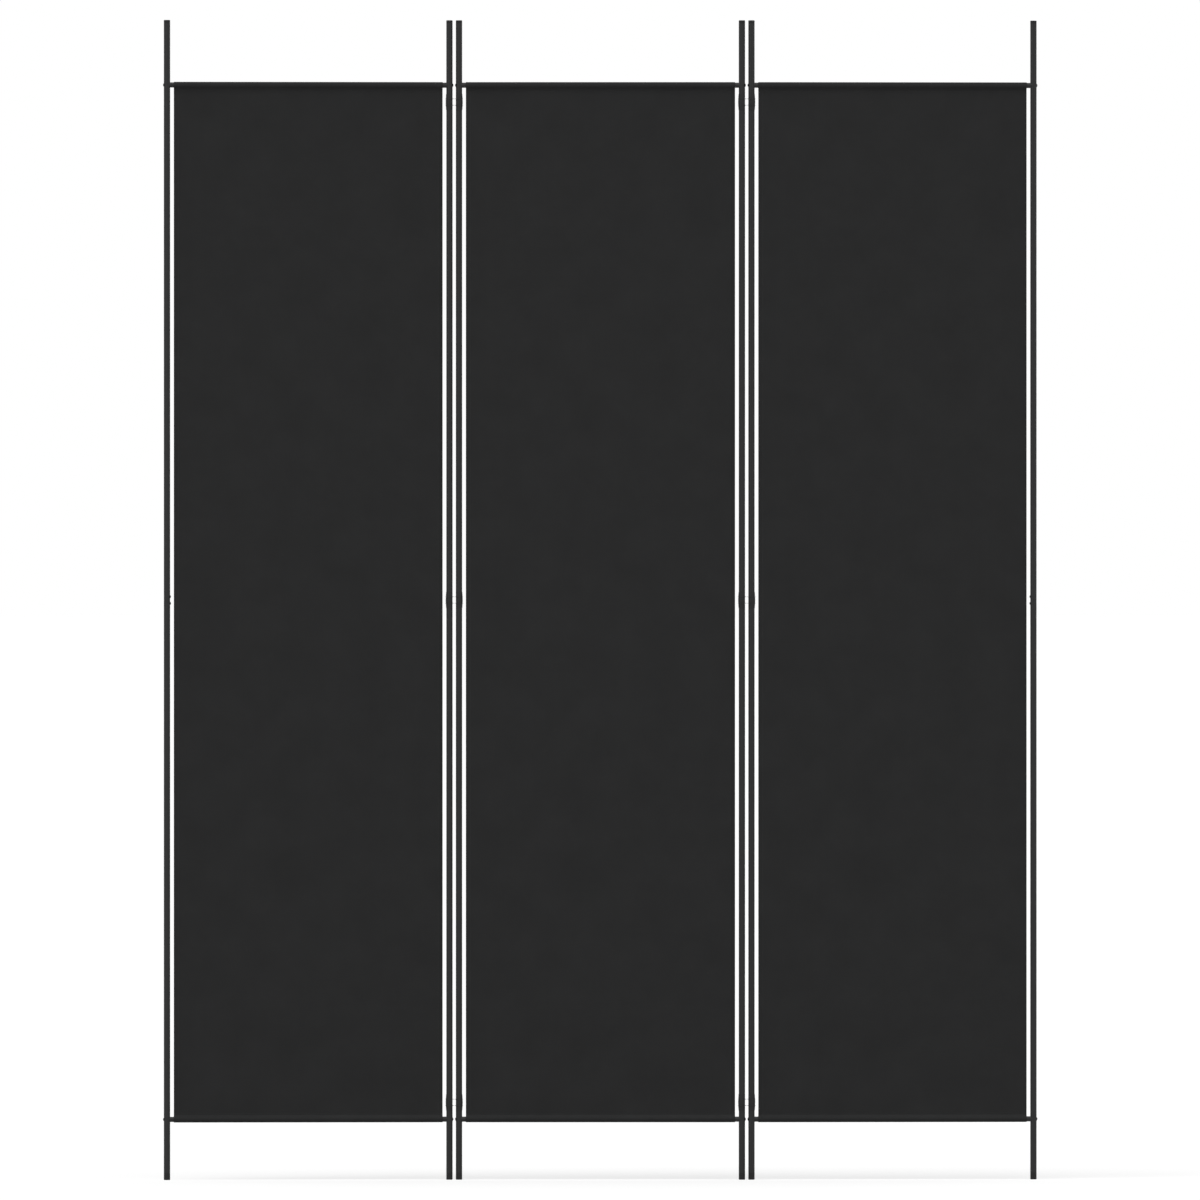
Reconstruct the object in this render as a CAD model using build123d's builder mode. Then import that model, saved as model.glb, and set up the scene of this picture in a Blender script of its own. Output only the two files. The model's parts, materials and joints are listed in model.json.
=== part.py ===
from build123d import *
import os

# A folding room divider screen, in millimetres: three fabric panels on tube frames, joined by link hinges.
# Z is up, X runs along the screen, the front faces -Y, and the origin is on the floor at its centre.

# Whole screen
screen_height = 2000
post_spacing = 488  # between the axes of a panel's two posts
head_gap = 2.5  # between the facing rail screw heads of neighbouring panels
standing_fold = 4  # degrees between neighbouring panels, because quite flat the screen would tip over

# Posts, each of a lower and an upper tube
post_diameter = 11
post_wall = 0.8
post_edge = 0.25  # bevel round a tube's ends, which shows where two pieces meet
joint_height = 1000  # where the two tubes meet

# Couplers inside the posts, across the joint
coupler_length = 60
coupler_wall = 1.2
coupler_clearance = 0.05

# Plugs in the tube ends
top_plug_head = 4.5
foot_plug_head = 11.5
plug_spigot = 14
plug_rounding = 1.2
plug_clearance = 0.05

# Rails
rail_diameter = 9
rail_wall = 0.7
top_rail_drop = 112  # from the post tops to the top rail's axis
bottom_rail_height = 104.5

# Threaded inserts in the rail ends
insert_nose = 4  # between the rail's end and the post
insert_depth = 16
insert_clearance = 0.05

# Screws: those through the posts into the rails, and those into the couplers
rail_screw_diameter = 4
rail_screw_length = 25
rail_screw_head_diameter = 6
rail_screw_head_height = 1.5
rail_screw_socket = 2.5  # across the flats
coupler_screw_diameter = 3
coupler_screw_length = 4
coupler_screw_head_diameter = 5
coupler_screw_head_height = 1.5
coupler_screw_socket = 2
coupler_screw_spread = 11.6  # between the two screws of a joint
socket_floor = 0.4  # left under a head's socket
hole_clearance = 0.15
thread_clearance = 0.05

# Fabric, with a rod pocket round each rail
fabric_gap = 6.5  # between the fabric's side edge and the post
fabric_thickness = 0.5
pocket_seam_drop = 7  # from the rail's axis to the pocket's seam
pocket_clearance = 0.15

# Hinges: double-eye links, held at height by spring clips
hinge_offset = 29  # between a rail's axis and the hinge nearest to it
link_thickness = 0.8
link_ring = 1.4  # width of the eye round the post
link_spread = 11  # between the two links of a hinge
link_clearance = 0.06
link_play = 0.1
collar_height = 8
collar_tip_wall = 0.3
clip_wall = 0.75  # next to a link
clip_crown = 1  # at a spacer's middle
clip_opening = 90  # degrees, towards the neighbouring panel
clip_clearance = 0.05


def step(angle, distance):
    """A step over the floor, at an angle from X."""
    return Vector(distance, 0, 0).rotate(Axis.Z, angle)


# Sizes that follow
post_radius = post_diameter / 2
post_bore_radius = post_radius - post_wall
hinge_pitch = post_diameter + 2 * rail_screw_head_height + head_gap
rail_end = post_radius + insert_nose  # from the post's axis
rail_bore_radius = rail_diameter / 2 - rail_wall
top_rail_height = screen_height - top_rail_drop
post_top = screen_height - top_plug_head
rail_heights = (bottom_rail_height, top_rail_height)
hinge_heights = {
    "bottom": bottom_rail_height + hinge_offset,
    "middle": joint_height,
    "top": top_rail_height - hinge_offset,
}
rail_hole_radius = rail_screw_diameter / 2 + hole_clearance
coupler_hole_radius = coupler_screw_diameter / 2 + hole_clearance
fabric_width = post_spacing - post_diameter - 2 * fabric_gap

# How the screen stands: the left panel turned to the front, the right one to the back, the links half as far
half_panel = step(0, post_spacing / 2)
half_link = step(standing_fold / 2, hinge_pitch / 2)
half_turned_panel = step(standing_fold, post_spacing / 2)
link_centre = half_panel + half_link
turned_centre = link_centre + half_link + half_turned_panel

# Each panel's floor plane, and its posts with the direction in which each faces out of the panel
panels = {
    "left_panel": (Plane(-turned_centre, x_dir=half_turned_panel), {"outer": -1, "inner": 1}),
    "middle_panel": (Plane.XY, {"left": -1, "right": 1}),
    "right_panel": (Plane(turned_centre, x_dir=half_turned_panel), {"inner": -1, "outer": 1}),
}

# Each hinge pair's floor plane
hinges = {
    "left": Plane(-link_centre, x_dir=half_link),
    "right": Plane(link_centre, x_dir=half_link),
}


def save(piece, node):
    """Label a finished piece and write it to its own file."""
    piece.part.label = node
    export_step(piece.part, f"parts/{node}.step")


def cross_plane(floor, x, height, direction):
    """The upright plane across a panel, at a place and height along it, that faces one of its sides."""
    return Plane(floor.from_local_coords((x, 0, height)), x_dir=floor.y_dir, z_dir=direction * floor.x_dir)


def seat_plane(floor, x, height, direction):
    """The plane that touches a post's side at a height and faces along its panel in the given direction."""
    return cross_plane(floor, x + direction * post_radius, height, direction)


def make_post(floor, x, bottom, top, rail_height, pin_seat):
    """A post's tube, holed through for the rail screw and, given a seat, in one wall for a coupler screw."""
    with BuildPart() as post:
        with BuildSketch(floor.offset(bottom)):
            with Locations((x, 0)):
                Circle(post_radius)
        extrude(amount=top - bottom)
        chamfer(post.edges().filter_by(GeomType.CIRCLE), length=post_edge)
        with BuildSketch(floor.offset(bottom)):
            with Locations((x, 0)):
                Circle(post_bore_radius)
        extrude(amount=top - bottom, mode=Mode.SUBTRACT)
        with BuildSketch(cross_plane(floor, x, rail_height, 1)):
            Circle(rail_hole_radius)
        extrude(amount=post_diameter, both=True, mode=Mode.SUBTRACT)
        if pin_seat:
            with BuildSketch(pin_seat):
                Circle(coupler_hole_radius)
            extrude(amount=-post_radius, mode=Mode.SUBTRACT)
    return post


def make_couplers(floor, post_places, pin_seats):
    """The sleeves inside a panel's posts, tapped where a screw holds them."""
    outer_radius = post_bore_radius - coupler_clearance
    with BuildPart() as couplers:
        with BuildSketch(floor.offset(joint_height - coupler_length / 2)):
            with Locations(*post_places):
                Circle(outer_radius)
                Circle(outer_radius - coupler_wall, mode=Mode.SUBTRACT)
        extrude(amount=coupler_length)
        for seat in pin_seats:
            with BuildSketch(seat):
                Circle(coupler_screw_diameter / 2 + thread_clearance)
            extrude(amount=-post_radius, mode=Mode.SUBTRACT)
    return couplers


def make_plugs(floor, post_places, seat_height, head, spigot):
    """Plugs in tube ends, with a rounded head on one side of the seat and a spigot on the other."""
    with BuildPart() as plugs:
        with BuildSketch(floor.offset(seat_height)):
            with Locations(*post_places):
                Circle(post_radius)
        extrude(amount=head)
        ends = plugs.edges().filter_by_position(Axis.Z, seat_height + head, seat_height + head)
        fillet(ends, radius=plug_rounding)
        with BuildSketch(floor.offset(seat_height)):
            with Locations(*post_places):
                Circle(post_bore_radius - plug_clearance)
        extrude(amount=spigot)
    return plugs


def make_rail(floor, height):
    """A rail's tube, between the noses of its two inserts."""
    half_length = post_spacing / 2 - rail_end
    with BuildPart() as rail:
        with BuildSketch(cross_plane(floor, 0, height, 1)):
            Circle(rail_diameter / 2)
            Circle(rail_bore_radius, mode=Mode.SUBTRACT)
        extrude(amount=half_length, both=True)
    return rail


def make_inserts(floor, posts):
    """Rail inserts: a threaded plug inside the rail, and a nose of the rail's width, hollowed to its post."""
    bore = rail_screw_diameter / 2 + thread_clearance
    plug_radius = rail_bore_radius - insert_clearance
    with BuildPart() as inserts:
        for x, direction in posts:
            for height in rail_heights:
                middle = floor.from_local_coords((x, 0, height))
                section = Plane(middle, x_dir=-direction * floor.x_dir, z_dir=direction * floor.y_dir)
                with BuildSketch(section):
                    Polygon(
                        (0, bore),
                        (rail_end + insert_depth, bore),
                        (rail_end + insert_depth, plug_radius),
                        (rail_end, plug_radius),
                        (rail_end, rail_diameter / 2),
                        (0, rail_diameter / 2),
                        align=None,
                    )
                revolve(axis=Axis(middle, floor.x_dir))
            with BuildSketch(floor):
                with Locations((x, 0)):
                    Circle(post_radius + insert_clearance)
            extrude(amount=screen_height, mode=Mode.SUBTRACT)
    return inserts


def make_screws(seats, diameter, length, head_diameter, head_height, socket):
    """Round-head screws with a hexagon socket, one on each seat plane."""
    with BuildPart() as screws:
        for seat in seats:
            section = Plane(origin=seat.origin, x_dir=seat.x_dir, z_dir=seat.x_dir.cross(seat.z_dir))
            with BuildSketch(section):
                with BuildLine():
                    Polyline(
                        (0, head_height),
                        (0, -length),
                        (diameter / 2, -length),
                        (diameter / 2, 0),
                        (head_diameter / 2, 0),
                    )
                    TangentArc((0, head_height), (head_diameter / 2, 0), tangent=(1, 0))
                make_face()
            revolve(axis=Axis(seat.origin, seat.z_dir))
            with BuildSketch(seat.offset(head_height)):
                RegularPolygon(radius=socket / 2, side_count=6, major_radius=False)
            extrude(amount=socket_floor - head_height, mode=Mode.SUBTRACT)
    return screws


def pocket_outline(rail_height, seam_height, around):
    """A rod pocket's section: a loop that stays off the rail by a distance and narrows to its seam."""
    with BuildSketch() as outline:
        with Locations((0, rail_height)):
            Circle(rail_diameter / 2 + around)
        with Locations((0, seam_height)):
            Circle(around)
        make_hull()
    return outline.sketch


def make_fabric(floor):
    """A panel's sheet, with a rod pocket round each rail."""
    seam_heights = (bottom_rail_height + pocket_seam_drop, top_rail_height - pocket_seam_drop)
    with BuildPart() as fabric:
        with BuildSketch(cross_plane(floor, 0, 0, 1)):
            with Locations((0, sum(seam_heights) / 2)):
                Rectangle(fabric_thickness, seam_heights[1] - seam_heights[0])
            for rail_height, seam_height in zip(rail_heights, seam_heights):
                add(pocket_outline(rail_height, seam_height, pocket_clearance + fabric_thickness))
            for rail_height, seam_height in zip(rail_heights, seam_heights):
                add(pocket_outline(rail_height, seam_height, pocket_clearance), mode=Mode.SUBTRACT)
        extrude(amount=fabric_width / 2, both=True)
    return fabric


def make_links(floor, height):
    """A hinge's two double-eye plates, round the posts on both sides of the gap."""
    bore = post_radius + link_clearance
    with BuildPart() as links:
        for middle in (height - link_spread / 2, height + link_spread / 2):
            with BuildSketch(floor.offset(middle - link_thickness / 2)):
                SlotCenterToCenter(hinge_pitch, 2 * (bore + link_ring))
                with Locations((-hinge_pitch / 2, 0), (hinge_pitch / 2, 0)):
                    Circle(bore, mode=Mode.SUBTRACT)
            extrude(amount=link_thickness)
    return links


def make_clips(floor, x, height, direction):
    """A post's clips at one hinge: tapered collars over and under the links, and a barrel spacer between."""
    middle = floor.from_local_coords((x, 0, height))
    first_side = (direction * floor.x_dir).rotate(Axis.Z, clip_opening / 2)
    section = Plane(middle, x_dir=first_side, z_dir=first_side.cross(floor.z_dir))
    post_axis = Axis(middle, floor.z_dir)
    inner = post_radius + clip_clearance
    collar_near = (link_spread + link_thickness) / 2 + link_play
    spacer_half = (link_spread - link_thickness) / 2 - link_play
    with BuildPart() as clips:
        for up in (-1, 1):
            with BuildSketch(section):
                Polygon(
                    (inner, up * collar_near),
                    (inner + clip_wall, up * collar_near),
                    (inner + collar_tip_wall, up * (collar_near + collar_height)),
                    (inner, up * (collar_near + collar_height)),
                    align=None,
                )
            revolve(axis=post_axis, revolution_arc=360 - clip_opening)
        with BuildSketch(section):
            with BuildLine():
                Polyline(
                    (inner + clip_wall, -spacer_half),
                    (inner, -spacer_half),
                    (inner, spacer_half),
                    (inner + clip_wall, spacer_half),
                )
                ThreePointArc(
                    (inner + clip_wall, spacer_half),
                    (inner + clip_crown, 0),
                    (inner + clip_wall, -spacer_half),
                )
            make_face()
        revolve(axis=post_axis, revolution_arc=360 - clip_opening)
    return clips


os.makedirs("parts", exist_ok=True)

for panel, (floor, sides) in panels.items():
    posts = [(direction * post_spacing / 2, direction) for direction in sides.values()]
    post_places = [(x, 0) for x, direction in posts]
    pin_seats = []
    for side, (x, direction) in zip(sides, posts):
        lower_pin = None
        upper_pin = None
        if side == "outer":
            lower_pin = seat_plane(floor, x, joint_height - coupler_screw_spread / 2, -direction)
            upper_pin = seat_plane(floor, x, joint_height + coupler_screw_spread / 2, -direction)
            pin_seats += [lower_pin, upper_pin]
        else:
            for level, height in hinge_heights.items():
                save(make_clips(floor, x, height, direction), f"{panel}_{side}_{level}_hinge_clips")
        lower_post = make_post(floor, x, foot_plug_head, joint_height, bottom_rail_height, lower_pin)
        save(lower_post, f"{panel}_{side}_post_lower")
        upper_post = make_post(floor, x, joint_height, post_top, top_rail_height, upper_pin)
        save(upper_post, f"{panel}_{side}_post_upper")
    save(make_couplers(floor, post_places, pin_seats), f"{panel}_post_couplers")
    save(make_plugs(floor, post_places, post_top, top_plug_head, -plug_spigot), f"{panel}_top_plugs")
    save(make_plugs(floor, post_places, foot_plug_head, -foot_plug_head, plug_spigot), f"{panel}_foot_plugs")

    save(make_rail(floor, bottom_rail_height), f"{panel}_bottom_rail")
    save(make_rail(floor, top_rail_height), f"{panel}_top_rail")
    save(make_inserts(floor, posts), f"{panel}_rail_inserts")
    rail_screws = make_screws(
        [seat_plane(floor, x, height, direction) for x, direction in posts for height in rail_heights],
        rail_screw_diameter,
        rail_screw_length,
        rail_screw_head_diameter,
        rail_screw_head_height,
        rail_screw_socket,
    )
    save(rail_screws, f"{panel}_rail_screws")
    if pin_seats:
        coupler_screws = make_screws(
            pin_seats,
            coupler_screw_diameter,
            coupler_screw_length,
            coupler_screw_head_diameter,
            coupler_screw_head_height,
            coupler_screw_socket,
        )
        save(coupler_screws, f"{panel}_coupler_screws")
    save(make_fabric(floor), f"{panel}_fabric")

for pair, floor in hinges.items():
    for level, height in hinge_heights.items():
        save(make_links(floor, height), f"{pair}_hinge_{level}_links")
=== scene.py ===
import json
import math

import bpy
import numpy as np
from mathutils import Matrix, Vector


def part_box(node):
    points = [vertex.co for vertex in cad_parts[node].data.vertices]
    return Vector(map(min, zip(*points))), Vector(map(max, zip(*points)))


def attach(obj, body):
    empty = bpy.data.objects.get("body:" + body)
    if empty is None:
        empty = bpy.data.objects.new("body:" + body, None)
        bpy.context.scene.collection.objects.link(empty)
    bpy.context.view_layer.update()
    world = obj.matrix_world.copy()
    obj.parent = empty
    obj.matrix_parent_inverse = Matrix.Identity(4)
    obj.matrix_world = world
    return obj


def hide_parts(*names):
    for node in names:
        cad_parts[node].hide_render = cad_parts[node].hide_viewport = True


# A folding room divider screen. Its rigid pieces get their finishes here, and sewn cloth takes the place
# of the three plain fabrics. Lengths are in metres, the front faces -Y, and the floor is at height 0.

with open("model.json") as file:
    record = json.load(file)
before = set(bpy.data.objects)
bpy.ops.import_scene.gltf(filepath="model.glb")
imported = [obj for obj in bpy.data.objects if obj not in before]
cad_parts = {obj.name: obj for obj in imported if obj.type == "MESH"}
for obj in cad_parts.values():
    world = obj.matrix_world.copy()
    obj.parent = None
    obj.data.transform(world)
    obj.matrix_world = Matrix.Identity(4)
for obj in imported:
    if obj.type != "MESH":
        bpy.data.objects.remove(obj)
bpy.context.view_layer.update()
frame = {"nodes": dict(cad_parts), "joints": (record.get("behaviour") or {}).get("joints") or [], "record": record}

MM = 0.001
PANELS = ("left_panel", "middle_panel", "right_panel")

# Cloth: one strip round both rails, with a flap behind each pocket and its side hems folded in
cloth_thickness = 0.36 * MM
layer_pitch = 0.42 * MM  # between the middles of two layers
pocket_ease = 0.1 * MM  # between a rail and the hems inside its pocket
seam_drop = 7 * MM  # from a rail's axis to the end of its pocket
seam_bend = 2 * MM  # over which the cloth turns there
flap_length = 9 * MM
loose_flap = layer_pitch  # behind the sheet, where both are single
hemmed_flap = 3 * layer_pitch  # behind the sheet, where a side hem of each lies between them
hem_width = 10 * MM
hem_easing = 14 * MM  # over which the flap comes off the side hems

# Steps that the cloth is made in, along the strip and across it
flap_steps = 4
bend_steps = 6
rail_steps = 32
sheet_steps = 150
half_sheet_columns = 30
fold_columns = 5
hem_columns = 4

# Slack: ripples across a panel that drift with height, and a curl along its side edges.
# A wave's length here is for one radian.
slack_depth = 0.3 * MM
panel_phase = 2.3  # between one panel's waves and the next one's
broad_length = 52 * MM
broad_drift_length = 610 * MM
broad_drift = 1.1
broad_share = 0.6
fine_length = 19 * MM
fine_drift_length = 370 * MM
fine_drift = 1.7
fine_share = 0.25
curl_length = 230 * MM
curl_start = 0.8  # of the way from the middle to the edge
curl_share = 0.5

# Stitches: a thread that comes out of the cloth, lies on it and goes back in
thread_width = 0.42 * MM
thread_height = 0.26 * MM
thread_sink = 0.03 * MM  # into the cloth, for the whole stitch
thread_sides = 6
stitch_length = 2.7 * MM
stitch_pitch = 3.4 * MM
direction_step = 0.2 * MM  # either way, to find where the thread heads
pocket_stitch_drop = 10 * MM  # from a rail's axis
pocket_stitch_inset = 3 * MM  # from the cloth's side edge
pocket_stitch_steps = 120
hem_stitch_inset = 7.5 * MM

# A stitch's rings: place along its length, further depth in thread heights, and size, each as a share
stitch_rings = ((-0.5, 1, 0.45), (-0.36, 0.15, 0.95), (0.36, 0.15, 0.95), (0.5, 1, 0.45))

# Link plates: both ends are dipped in black, and at most this much between them is bare
bare_bridge = 3.6 * MM
dip_unevenness = 0.3 * MM  # of each edge of the dip

# Between these lie most values of a noise texture
noise_low = 0.3
noise_high = 0.7

# Camera: far away with a long lens, for a view with hardly any perspective
view_width = 2.07
view_aim = (-0.8 * MM, 0, 1.0)
view_distance = 60.0
view_limit = 5000  # beyond it nothing is drawn
sensor_width = 36  # in millimetres, as the camera takes it

# Stage
floor_size = 4000.0
floor_lighting_grey = 0.5
floor_seen_grey = 0.72
floor_white_share = 0.65
dome_level_low = 0.5
dome_level_overhead = 1.3

# Lamps, with their places and powers
high_light_place = (-1.0, -2.2, 4.6)
high_light_power = 1.62
high_light_spread = math.radians(35)
strip_light_width = 1.2
strip_light_height = 5
strip_lights = {
    "left_strip": ((-4.6, -6.6, 2.6), 70),
    "right_strip": ((5.6, -5.4, 2.6), 45),
    "back_strip": ((3.5, 7.0, 2.6), 60),
}


def middle_of(node):
    low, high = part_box(node)
    return (low + high) / 2


# Sizes and places from the frame
fabric_low, fabric_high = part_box("middle_panel_fabric")
fabric_width = fabric_high.x - fabric_low.x
rail_low, rail_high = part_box("middle_panel_top_rail")
rail_radius = (rail_high.y - rail_low.y) / 2
top_rail = middle_of("middle_panel_top_rail").z
bottom_rail = middle_of("middle_panel_bottom_rail").z
pocket_radius = rail_radius + pocket_ease + layer_pitch + cloth_thickness / 2
turns = {joint["name"]: Vector(joint["pos_m"]) for joint in frame["joints"]}
link_run = turns["right_panel_turn"] - turns["right_link_turn"]
standing_fold = 2 * math.atan2(link_run.y, link_run.x)


def panel_place(panel):
    """Where a panel's own frame stands: origin on the floor under the middle of its rails."""
    middle = middle_of(f"{panel}_top_rail")
    turn = 0 if panel == "middle_panel" else standing_fold
    return Matrix.Translation((middle.x, middle.y, 0)) @ Matrix.Rotation(turn, 4, "Z")


def smooth_step(value):
    value = min(max(value, 0), 1)
    return value * value * (3 - 2 * value)


def bend(start, corner, end):
    """Points of a soft bend that leaves and arrives along the lines through the corner."""
    steps = [i / bend_steps for i in range(bend_steps + 1)]
    return [start * (1 - t) ** 2 + corner * 2 * t * (1 - t) + end * t**2 for t in steps]


def pocket_profile(flap):
    """The cloth's middle line round one rail, from the flap behind to the sheet in front.

    Points are (depth, height over the rail's axis), with the sheet hanging at depth 0.
    """
    below = Vector((0, -seam_bend))
    seams = (Vector((flap, -seam_drop)), Vector((0, -seam_drop)))
    away = []
    touch = []
    for seam, side in zip(seams, (1, -1)):
        lean = math.atan2(-seam.x, -seam.y) + side * math.asin(pocket_radius / seam.length)
        away.append(Vector((math.sin(lean), math.cos(lean))))
        reach = seam + away[-1] * math.sqrt(seam.length**2 - pocket_radius**2)
        touch.append(math.atan2(reach.x, reach.y))
    flap_end = seams[0] + below + Vector((0, -flap_length))
    points = [flap_end.lerp(seams[0] + below, i / flap_steps) for i in range(flap_steps)]
    points += bend(seams[0] + below, seams[0], seams[0] + away[0] * seam_bend)
    for i in range(rail_steps + 1):
        angle = touch[0] + (touch[1] - touch[0]) * i / rail_steps
        points.append(Vector((math.sin(angle), math.cos(angle))) * pocket_radius)
    points += bend(seams[1] + away[1] * seam_bend, seams[1], seams[1] + below)
    return points


def cloth_path(flap):
    """The strip's middle line in a panel's (depth, height), from the upper flap to the lower one."""
    profile = pocket_profile(flap)
    top = [Vector((point.x, top_rail + point.y)) for point in profile]
    bottom = [Vector((point.x, bottom_rail - point.y)) for point in reversed(profile)]
    sheet = [top[-1].lerp(bottom[0], i / sheet_steps) for i in range(1, sheet_steps)]
    return top + sheet + bottom


def inward(path):
    """Directions across the strip, towards the rails and the back of the sheet."""
    last = len(path) - 1
    runs = [path[min(i + 1, last)] - path[max(i - 1, 0)] for i in range(last + 1)]
    return [Vector((-run.y, run.x)).normalized() for run in runs]


def cloth_columns():
    """(across, depth behind the outer layer, flat place) of the columns, side hems folded in."""
    fold_radius = layer_pitch / 2
    fold_start = fabric_width / 2 - fold_radius
    right = []
    for i in range(1, half_sheet_columns + 1):
        across = fold_start * i / half_sheet_columns
        right.append((across, 0, across))
    for i in range(1, fold_columns + 1):
        angle = math.pi * i / fold_columns
        across = fold_start + fold_radius * math.sin(angle)
        depth = fold_radius * (1 - math.cos(angle))
        right.append((across, depth, fold_start + fold_radius * angle))
    folded = fold_start + fold_radius * math.pi
    for i in range(1, hem_columns + 1):
        run = (hem_width - fold_radius) * i / hem_columns
        right.append((fold_start - run, layer_pitch, folded + run))
    left = [(-across, depth, -flat) for across, depth, flat in reversed(right)]
    return left + [(0, 0, 0)] + right


def flat_lengths(path):
    """How far along the flat strip each point of its middle line is."""
    steps = [(b - a).length for a, b in zip(path, path[1:])]
    return [sum(steps[:i]) for i in range(len(path))]


# The strip where it is a single layer, and where it has its side hems
loose_path = cloth_path(loose_flap)
hemmed_path = cloth_path(hemmed_flap)
loose_inward = inward(loose_path)
hemmed_inward = inward(hemmed_path)
flat_rows = flat_lengths(loose_path)
columns = cloth_columns()
pocket_rows = len(pocket_profile(loose_flap))
sheet_rows = range(pocket_rows, pocket_rows + sheet_steps - 1)


def hem_hold(across):
    """1 where the side hem's extra layers push the flap out, 0 on the single sheet."""
    return smooth_step((abs(across) - fabric_width / 2 + hem_width + hem_easing) / hem_easing)


def flap_depth(across):
    """How far the flap's middle line is behind the sheet's."""
    return loose_flap + (hemmed_flap - loose_flap) * hem_hold(across)


def slack(across, height, panel):
    """The small unevenness of a cloth that two rails hold and nothing holds at its sides."""
    phase = panel_phase * PANELS.index(panel)
    rise = (height - bottom_rail) / (top_rail - bottom_rail)
    hang = math.sin(math.pi * min(max(rise, 0), 1))
    broad_shift = broad_drift * math.sin(height / broad_drift_length + phase)
    broad = math.sin(across / broad_length + broad_shift + phase)
    fine_shift = fine_drift * math.sin(height / fine_drift_length - phase)
    fine = math.sin(across / fine_length + fine_shift + 2 * phase)
    edge = smooth_step((abs(across) / (fabric_width / 2) - curl_start) / (1 - curl_start))
    curl = edge * math.sin(height / curl_length + phase + across)
    return slack_depth * hang * (broad_share * broad + fine_share * fine + curl_share * curl)


def strip_point(row, across, depth, panel):
    """A point of the strip, at a depth behind its outer layer's middle, in the panel's frame."""
    hold = hem_hold(across)
    place = loose_path[row].lerp(hemmed_path[row], hold)
    place = place + loose_inward[row].lerp(hemmed_inward[row], hold) * depth
    hang = slack(across, place.y, panel) if row in sheet_rows else 0
    return Vector((across, place.x + hang, place.y))


def add_object(name, data):
    added = bpy.data.objects.new(name, data)
    bpy.context.scene.collection.objects.link(added)
    return added


def new_piece(name, vertices, faces, panel):
    """A smooth mesh, given in its panel's frame, that rides on the panel."""
    mesh = bpy.data.meshes.new(name)
    mesh.from_pydata(vertices, [], faces)
    mesh.polygons.foreach_set("use_smooth", [True] * len(mesh.polygons))
    piece = add_object(name, mesh)
    piece.matrix_world = panel_place(panel)
    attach(piece, panel)
    return piece


def make_cloth(panel):
    """A panel's strip of cloth, with its flat coordinates for the weave."""
    vertices = []
    flat = []
    for row in range(len(loose_path)):
        for across, depth, flat_across in columns:
            vertices.append(strip_point(row, across, depth, panel))
            flat += [flat_across, flat_rows[row], 0]
    wide = len(columns)
    faces = []
    for row in range(len(loose_path) - 1):
        for i in range(row * wide, row * wide + wide - 1):
            faces.append((i, i + 1, i + wide + 1, i + wide))
    cloth = new_piece(f"{panel}_cloth", vertices, faces, panel)
    places = cloth.data.attributes.new("flat_cloth", "FLOAT_VECTOR", "POINT")
    places.data.foreach_set("vector", flat)
    thick = cloth.modifiers.new("thickness", "SOLIDIFY")
    thick.thickness = cloth_thickness
    thick.offset = 0
    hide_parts(f"{panel}_fabric")
    return cloth


def stitch_faces(count):
    """Faces of so many stitches: the sides between their rings, and both ends."""
    stitch_points = len(stitch_rings) * thread_sides
    last_ring = stitch_points - thread_sides
    faces = []
    for start in range(0, count * stitch_points, stitch_points):
        for ring in range(start, start + last_ring, thread_sides):
            following = ring + thread_sides
            for k in range(thread_sides):
                after = (k + 1) % thread_sides
                faces.append((ring + k, ring + after, following + after, following + k))
        faces.append(tuple(range(start + thread_sides - 1, start - 1, -1)))
        faces.append(tuple(range(start + last_ring, start + stitch_points)))
    return faces


def stitch_row(points, outward):
    """Vertices and faces of a row of stitches that lies on a line of the cloth's surface."""
    points = np.array(points)
    outward = np.array(outward)
    steps = np.linalg.norm(np.diff(points, axis=0), axis=1)
    places = np.concatenate([[0], np.cumsum(steps)])
    count = int(places[-1] / stitch_pitch)
    centres = (np.arange(count) + 0.5) * places[-1] / count

    def at(values, where):
        return np.stack([np.interp(where, places, values[:, k]) for k in range(3)], axis=1)

    rings = []
    for share, sunk, size in stitch_rings:
        where = centres + share * stitch_length
        up = at(outward, where)
        ahead = at(points, where + direction_step) - at(points, where - direction_step)
        ahead /= np.linalg.norm(ahead, axis=1)[:, None]
        side = np.cross(up, ahead)
        middle = at(points, where) + up * (thread_height / 2 - thread_sink - sunk * thread_height)
        for k in range(thread_sides):
            angle = 2 * math.pi * k / thread_sides
            rim = side * math.cos(angle) * thread_width + up * math.sin(angle) * thread_height
            rings.append(middle + rim * size / 2)
    vertices = np.stack(rings, axis=1).reshape(-1, 3)
    return vertices.tolist(), stitch_faces(count)


def pocket_seams():
    """Lines of the stitching across both pockets, on the front and on the flap behind."""
    half = fabric_width / 2 - pocket_stitch_inset
    across = [-half + 2 * half * i / pocket_stitch_steps for i in range(pocket_stitch_steps + 1)]
    lines = []
    for height in (top_rail - pocket_stitch_drop, bottom_rail + pocket_stitch_drop):
        front = [(x, -cloth_thickness / 2, height) for x in across]
        back = [(x, flap_depth(x) + cloth_thickness / 2, height) for x in across]
        lines.append((front, [(0, -1, 0)] * len(front)))
        lines.append((back, [(0, 1, 0)] * len(back)))
    return lines


def hem_seams(panel):
    """Lines of the stitching down both side hems, on the outer face and on the hem behind."""
    outer_rows = range(flap_steps, len(loose_path) - flap_steps)
    hem_rows = sheet_rows[1:-1]
    hem_face = layer_pitch + cloth_thickness / 2
    lines = []
    for across in (hem_stitch_inset - fabric_width / 2, fabric_width / 2 - hem_stitch_inset):
        front = [strip_point(row, across, -cloth_thickness / 2, panel) for row in outer_rows]
        outward = [(0, -hemmed_inward[row].x, -hemmed_inward[row].y) for row in outer_rows]
        lines.append((front, outward))
        back = [strip_point(row, across, hem_face, panel) for row in hem_rows]
        lines.append((back, [(0, 1, 0)] * len(back)))
    return lines


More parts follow.
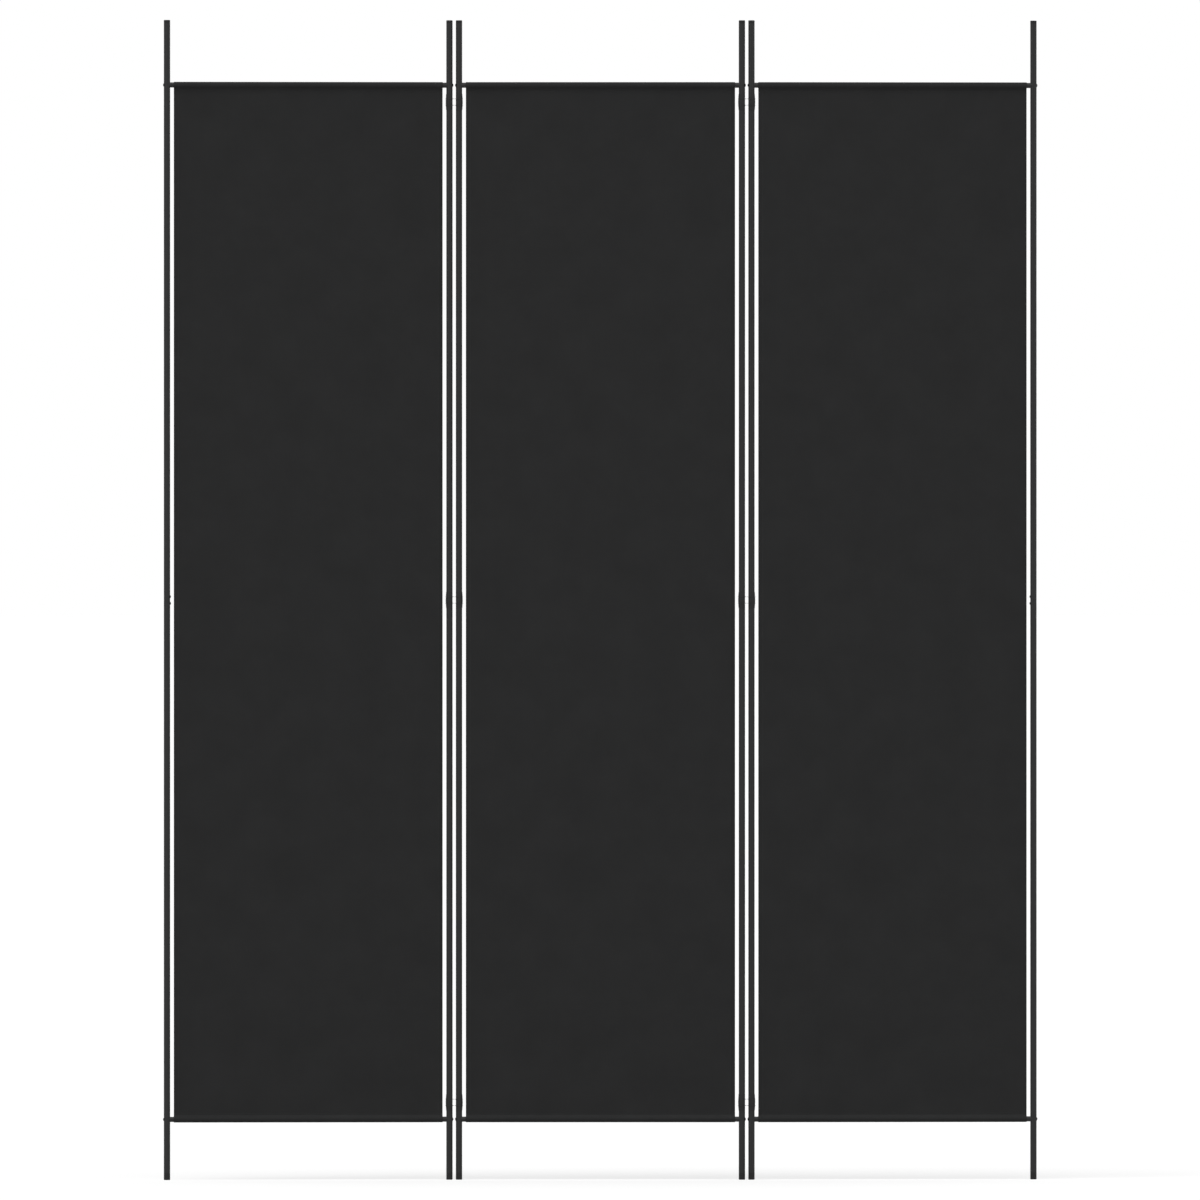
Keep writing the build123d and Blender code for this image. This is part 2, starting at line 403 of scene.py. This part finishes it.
def make_stitching(panel):
    """All the stitches of a panel's cloth, as thread."""
    vertices = []
    faces = []
    for points, outward in pocket_seams() + hem_seams(panel):
        row_vertices, row_faces = stitch_row(points, outward)
        start = len(vertices)
        vertices += row_vertices
        faces += [tuple(start + i for i in face) for face in row_faces]
    stitching = new_piece(f"{panel}_stitching", vertices, faces, panel)
    return stitching


def put(tree, kind, inputs=None, **settings):
    """A new node with its settings, its input values and its links."""
    node = tree.nodes.new(kind)
    for name, value in settings.items():
        setattr(node, name, value)
    for name, value in (inputs or {}).items():
        if isinstance(value, bpy.types.NodeSocket):
            tree.links.new(value, node.inputs[name])
        else:
            node.inputs[name].default_value = value
    return node


def grey(level, warmth=0.0):
    """A neutral colour, linear, with a little more red or blue."""
    return (level * (1 + warmth), level, level * (1 - warmth), 1)


def noise(tree, place, scale, detail=2.0):
    inputs = {"Vector": place, "Scale": scale, "Detail": detail}
    return put(tree, "ShaderNodeTexNoise", inputs).outputs[0]


def stretched(tree, place, scale):
    return put(tree, "ShaderNodeMapping", {"Vector": place, "Scale": scale}).outputs[0]


def spread(tree, value, low=0.0, high=1.0):
    """A noise value moved to a range."""
    inputs = {"Value": value, "From Min": noise_low, "From Max": noise_high, "To Min": low, "To Max": high}
    return put(tree, "ShaderNodeMapRange", inputs).outputs[0]


def calc(tree, operation, first, second=0.0):
    return put(tree, "ShaderNodeMath", {0: first, 1: second}, operation=operation).outputs[0]


def shade(tree, value, dark, light):
    """A colour between two for a value from 0 to 1."""
    node = put(tree, "ShaderNodeValToRGB", {0: value})
    node.color_ramp.elements[0].color = dark
    node.color_ramp.elements[1].color = light
    return node.outputs[0]


def bumped(tree, height, depth, strength=1.0):
    inputs = {"Height": height, "Distance": depth, "Strength": strength}
    return put(tree, "ShaderNodeBump", inputs).outputs[0]


def local_place(tree):
    return put(tree, "ShaderNodeTexCoord").outputs["Object"]


def principled(tree, inputs):
    return put(tree, "ShaderNodeBsdfPrincipled", inputs).outputs[0]


def new_material(name):
    material = bpy.data.materials.new(name)
    material.use_nodes = True
    material.node_tree.nodes.clear()
    return material, material.node_tree


def close_material(tree, surface):
    """Links the finished surface to the material's output."""
    put(tree, "ShaderNodeOutputMaterial", {"Surface": surface})


def coated_material(name, level, roughness, grains, grain_depth, specular):
    """Painted or moulded black: so many grains in a metre of its surface, over slow changes of gloss."""
    material, tree = new_material(name)
    place = local_place(tree)
    gloss = noise(tree, place, scale=130, detail=3)
    grain = noise(tree, place, scale=grains)
    dark = grey(level * 0.82, warmth=-0.01)
    light = grey(level * 1.18, warmth=-0.01)
    surface = principled(tree, {
        "Base Color": shade(tree, spread(tree, grain), dark, light),
        "Roughness": spread(tree, gloss, low=roughness - 0.05, high=roughness + 0.06),
        "Normal": bumped(tree, grain, grain_depth),
        "Specular IOR Level": specular,
    })
    close_material(tree, surface)
    return material


def metal_surface(tree, place, level, roughness, brush):
    """Bare or plated metal with fine drawn lines along one direction."""
    lines = noise(tree, stretched(tree, place, brush), scale=1, detail=3)
    dark = grey(level * 0.8, warmth=-0.015)
    light = grey(level, warmth=-0.008)
    return principled(tree, {
        "Base Color": shade(tree, spread(tree, lines), dark, light),
        "Metallic": 1.0,
        "Roughness": spread(tree, lines, low=roughness - 0.06, high=roughness + 0.1),
        "Normal": bumped(tree, lines, depth=0.03 * MM),
    })


def metal_material(name, level, roughness, brush):
    material, tree = new_material(name)
    close_material(tree, metal_surface(tree, local_place(tree), level, roughness, brush))
    return material


def dipped_ends(tree, place):
    """1 on a link's dipped ends, 0 on the bare bridge between them.

    The left plates are the right ones turned half round, so the run's size serves both.
    """
    ahead = link_run.normalized()
    bridge = ahead.dot(turns["right_link_turn"] + link_run / 2)
    run = put(tree, "ShaderNodeVectorMath", {0: place, 1: ahead}, operation="DOT_PRODUCT").outputs["Value"]
    off_bridge = calc(tree, "ABSOLUTE", calc(tree, "SUBTRACT", calc(tree, "ABSOLUTE", run), bridge))
    ragged = calc(tree, "MULTIPLY", noise(tree, place, scale=900), dip_unevenness)
    return calc(tree, "GREATER_THAN", calc(tree, "ADD", off_bridge, ragged), bare_bridge / 2)


def link_material(name, level, black):
    """Plated link plates with both ends dipped in black plastic, so that they don't scratch the posts."""
    material, tree = new_material(name)
    place = local_place(tree)
    metal = metal_surface(tree, place, level, roughness=0.38, brush=(60, 1800, 1800))
    peel = noise(tree, place, scale=1500)
    plastic = principled(tree, {
        "Base Color": shade(tree, spread(tree, peel), dark=grey(black * 0.85), light=grey(black * 1.15)),
        "Roughness": spread(tree, noise(tree, place, scale=300), low=0.5, high=0.6),
        "Normal": bumped(tree, peel, depth=0.02 * MM),
        "Specular IOR Level": 0.3,
    })
    both = put(tree, "ShaderNodeMixShader", {0: dipped_ends(tree, place), 1: metal, 2: plastic})
    close_material(tree, both.outputs[0])
    return material


def wandering(tree, flat, reach):
    """Places on the flat cloth, moved a little so that no yarn runs quite straight."""
    wander = put(tree, "ShaderNodeTexNoise", {"Vector": flat, "Scale": 90.0, "Detail": 2.0}).outputs[1]
    shift = put(tree, "ShaderNodeVectorMath", {0: wander, 1: (reach, reach, 0)}, operation="MULTIPLY")
    moved = put(tree, "ShaderNodeVectorMath", {0: flat, 1: shift.outputs[0]}, operation="ADD")
    return moved.outputs[0]


def yarn_roundness(tree, count):
    """The height of yarns side by side: 1 along the middle of each, 0 between them."""
    return calc(tree, "ABSOLUTE", calc(tree, "SINE", calc(tree, "MULTIPLY", count, math.pi)))


def yarn_tone(tree, number):
    """A tone of its own for each yarn."""
    return put(tree, "ShaderNodeTexWhiteNoise", {"W": number}, noise_dimensions="1D").outputs[0]


def upper_yarn(tree, over, warp_value, weft_value):
    """The warp's value where it lies over the weft, and elsewhere the weft's."""
    warp_shown = calc(tree, "MULTIPLY", warp_value, over)
    weft_shown = calc(tree, "MULTIPLY", weft_value, calc(tree, "SUBTRACT", 1.0, over))
    return calc(tree, "ADD", warp_shown, weft_shown)


def woven_material(name, level, yarn_pitch, tone_share, cloud_share):
    """Black plain weave in the cloth's own flat coordinates, yarn over and under yarn.

    The shares are those of each yarn's own tone and of slow clouds over many yarns.
    """
    material, tree = new_material(name)
    flat = put(tree, "ShaderNodeAttribute", attribute_name="flat_cloth").outputs["Vector"]
    split = put(tree, "ShaderNodeSeparateXYZ", {0: wandering(tree, flat, reach=0.5 * MM)})
    warp = calc(tree, "DIVIDE", split.outputs[0], yarn_pitch)
    weft = calc(tree, "DIVIDE", split.outputs[1], yarn_pitch)
    warp_number = calc(tree, "FLOOR", warp)
    weft_number = calc(tree, "FLOOR", weft)
    over = calc(tree, "PINGPONG", calc(tree, "ADD", warp_number, weft_number), 1.0)
    height = upper_yarn(tree, over, yarn_roundness(tree, warp), yarn_roundness(tree, weft))
    yarn = upper_yarn(tree, over, yarn_tone(tree, warp_number), yarn_tone(tree, weft_number))
    uneven = calc(tree, "ADD", 1 - tone_share, calc(tree, "MULTIPLY", yarn, tone_share))
    # Painted shade: the yarns' height darkens the colour between yarns and lightens it along each yarn's middle,
    # times each yarn's own tone.
    yarn_tone_and_painted_shade = calc(tree, "MULTIPLY", calc(tree, "MULTIPLY", height, uneven), 1 - cloud_share)
    cloud = spread(tree, noise(tree, flat, scale=14, detail=3))
    tone = calc(tree, "ADD", yarn_tone_and_painted_shade, calc(tree, "MULTIPLY", cloud, cloud_share))
    dark = grey(level * 0.7, warmth=-0.01)
    light = grey(level * 1.25, warmth=-0.01)
    surface = principled(tree, {
        "Base Color": shade(tree, tone, dark, light),
        "Roughness": spread(tree, noise(tree, flat, scale=60), low=0.8, high=0.95),
        "Normal": bumped(tree, height, depth=0.08 * MM, strength=0.7),
        "Specular IOR Level": 0.05,
        "Sheen Weight": 0.02,
        "Sheen Roughness": 0.4,
    })
    close_material(tree, surface)
    return material


def thread_material(name, level):
    """Black sewing thread, twisted plies, with painted shade in the grooves between them."""
    material, tree = new_material(name)
    place = local_place(tree)
    inputs = {"Vector": place, "Scale": 700.0, "Distortion": 1.5}
    plies = put(tree, "ShaderNodeTexWave", inputs, bands_direction="DIAGONAL").outputs[1]
    # Painted shade: the plies' twist darkens the colour in the grooves and lightens it on the crowns.
    surface = principled(tree, {
        "Base Color": shade(tree, plies, dark=grey(level * 0.7), light=grey(level * 1.3)),
        "Roughness": spread(tree, noise(tree, place, scale=400), low=0.5, high=0.65),
        "Normal": bumped(tree, plies, depth=0.05 * MM),
        "Specular IOR Level": 0.25,
        "Sheen Weight": 0.1,
        "Sheen Roughness": 0.4,
    })
    close_material(tree, surface)
    return material


def seen_directly(tree):
    """1 for camera, mirror and glass rays, 0 for the rays that light the object."""
    path = put(tree, "ShaderNodeLightPath").outputs
    seen = calc(tree, "MAXIMUM", path["Is Camera Ray"], path["Is Glossy Ray"])
    return calc(tree, "MAXIMUM", seen, path["Is Transmission Ray"])


def make_floor():
    """A floor that is near white where it is seen, but for the object's shadow on it."""
    half = floor_size / 2
    corners = [(-half, -half, 0), (half, -half, 0), (half, half, 0), (-half, half, 0)]
    mesh = bpy.data.meshes.new("studio_floor")
    mesh.from_pydata(corners, [], [(0, 1, 2, 3)])
    floor = add_object("studio_floor", mesh)
    material, tree = new_material("pale_floor")
    seen = seen_directly(tree)
    colour = shade(tree, seen, dark=grey(floor_lighting_grey), light=grey(floor_seen_grey))
    matt = put(tree, "ShaderNodeBsdfDiffuse", {"Color": colour}).outputs[0]
    white = put(tree, "ShaderNodeEmission", {"Color": grey(1.0), "Strength": 1.0}).outputs[0]
    share = calc(tree, "MULTIPLY", seen, floor_white_share)
    mixed = put(tree, "ShaderNodeMixShader", {0: share, 1: matt, 2: white})
    close_material(tree, mixed.outputs[0])
    mesh.materials.append(material)


def make_world():
    """White where it is seen, a soft dome that is lighter overhead where it lights the object."""
    world = bpy.data.worlds.new("studio")
    world.use_nodes = True
    tree = world.node_tree
    tree.nodes.clear()
    direction = put(tree, "ShaderNodeTexCoord").outputs["Generated"]
    up = put(tree, "ShaderNodeSeparateXYZ", {0: direction}).outputs[2]
    inputs = {"Value": up, "To Min": dome_level_low, "To Max": dome_level_overhead}
    dome = put(tree, "ShaderNodeMapRange", inputs).outputs[0]
    seen = seen_directly(tree)
    lighting = calc(tree, "MULTIPLY", dome, calc(tree, "SUBTRACT", 1.0, seen))
    level = calc(tree, "ADD", seen, lighting)
    background = put(tree, "ShaderNodeBackground", {"Color": grey(1.0), "Strength": level})
    put(tree, "ShaderNodeOutputWorld", {"Surface": background.outputs[0]})
    bpy.context.scene.world = world


def hang_lamp(lamp, place, target, power):
    lamp.energy = power
    holder = add_object(lamp.name, lamp)
    holder.location = place
    holder.rotation_euler = (Vector(target) - Vector(place)).to_track_quat("-Z", "Y").to_euler()


def make_high_light():
    """A wide, soft light from far above, so that it is even over the screen's whole height."""
    lamp = bpy.data.lights.new("high_light", "SUN")
    lamp.angle = high_light_spread
    hang_lamp(lamp, high_light_place, (0, 0, 0), high_light_power)


def make_strip_light(name, place, power):
    """A tall, narrow light that draws a soft line down every post."""
    lamp = bpy.data.lights.new(name, "AREA")
    lamp.shape = "RECTANGLE"
    lamp.size = strip_light_width
    lamp.size_y = strip_light_height
    hang_lamp(lamp, place, (0, 0, place[2]), power)


def make_camera():
    lens = bpy.data.cameras.new("front_camera")
    lens.sensor_width = sensor_width
    lens.lens = sensor_width * view_distance / view_width
    lens.clip_end = view_limit
    camera = add_object("front_camera", lens)
    camera.location = Vector(view_aim) - Vector((0, view_distance, 0))
    camera.rotation_euler = (math.pi / 2, 0, 0)
    bpy.context.scene.camera = camera


# One finish for each of the record's material slots
finishes = {
    "frame_tube": coated_material(
        "satin_powder_coat", level=0.018, roughness=0.42, grains=1900, grain_depth=0.05 * MM, specular=0.15
    ),
    "plug_plastic": coated_material(
        "matt_plug_plastic", level=0.013, roughness=0.55, grains=2600, grain_depth=0.06 * MM, specular=0.15
    ),
    "clip_plastic": coated_material(
        "satin_clip_plastic", level=0.015, roughness=0.46, grains=3200, grain_depth=0.03 * MM, specular=0.16
    ),
    "black_screw": coated_material(
        "black_screw_finish", level=0.014, roughness=0.4, grains=2600, grain_depth=0.02 * MM, specular=0.2
    ),
    "zinc_link": link_material("dipped_link_steel", level=0.66, black=0.014),
    "inner_steel": metal_material("bare_tube_steel", level=0.5, roughness=0.36, brush=(900, 900, 40)),
    "fabric": woven_material(
        "black_weave", level=0.019, yarn_pitch=0.6 * MM, tone_share=0.25, cloud_share=0.2
    ),
}
thread_finish = thread_material("black_thread", level=0.016)

for part in frame["record"]["subparts"]:
    mesh = frame["nodes"][part["node"]].data
    mesh.materials.clear()
    mesh.materials.append(finishes[part["material_slot"]])

for panel in PANELS:
    cloth = make_cloth(panel)
    cloth.data.materials.append(finishes["fabric"])
    stitching = make_stitching(panel)
    stitching.data.materials.append(thread_finish)

make_floor()
make_world()
make_high_light()
for name, (place, power) in strip_lights.items():
    make_strip_light(name, place, power)
make_camera()
bpy.context.scene.view_settings.view_transform = "Standard"
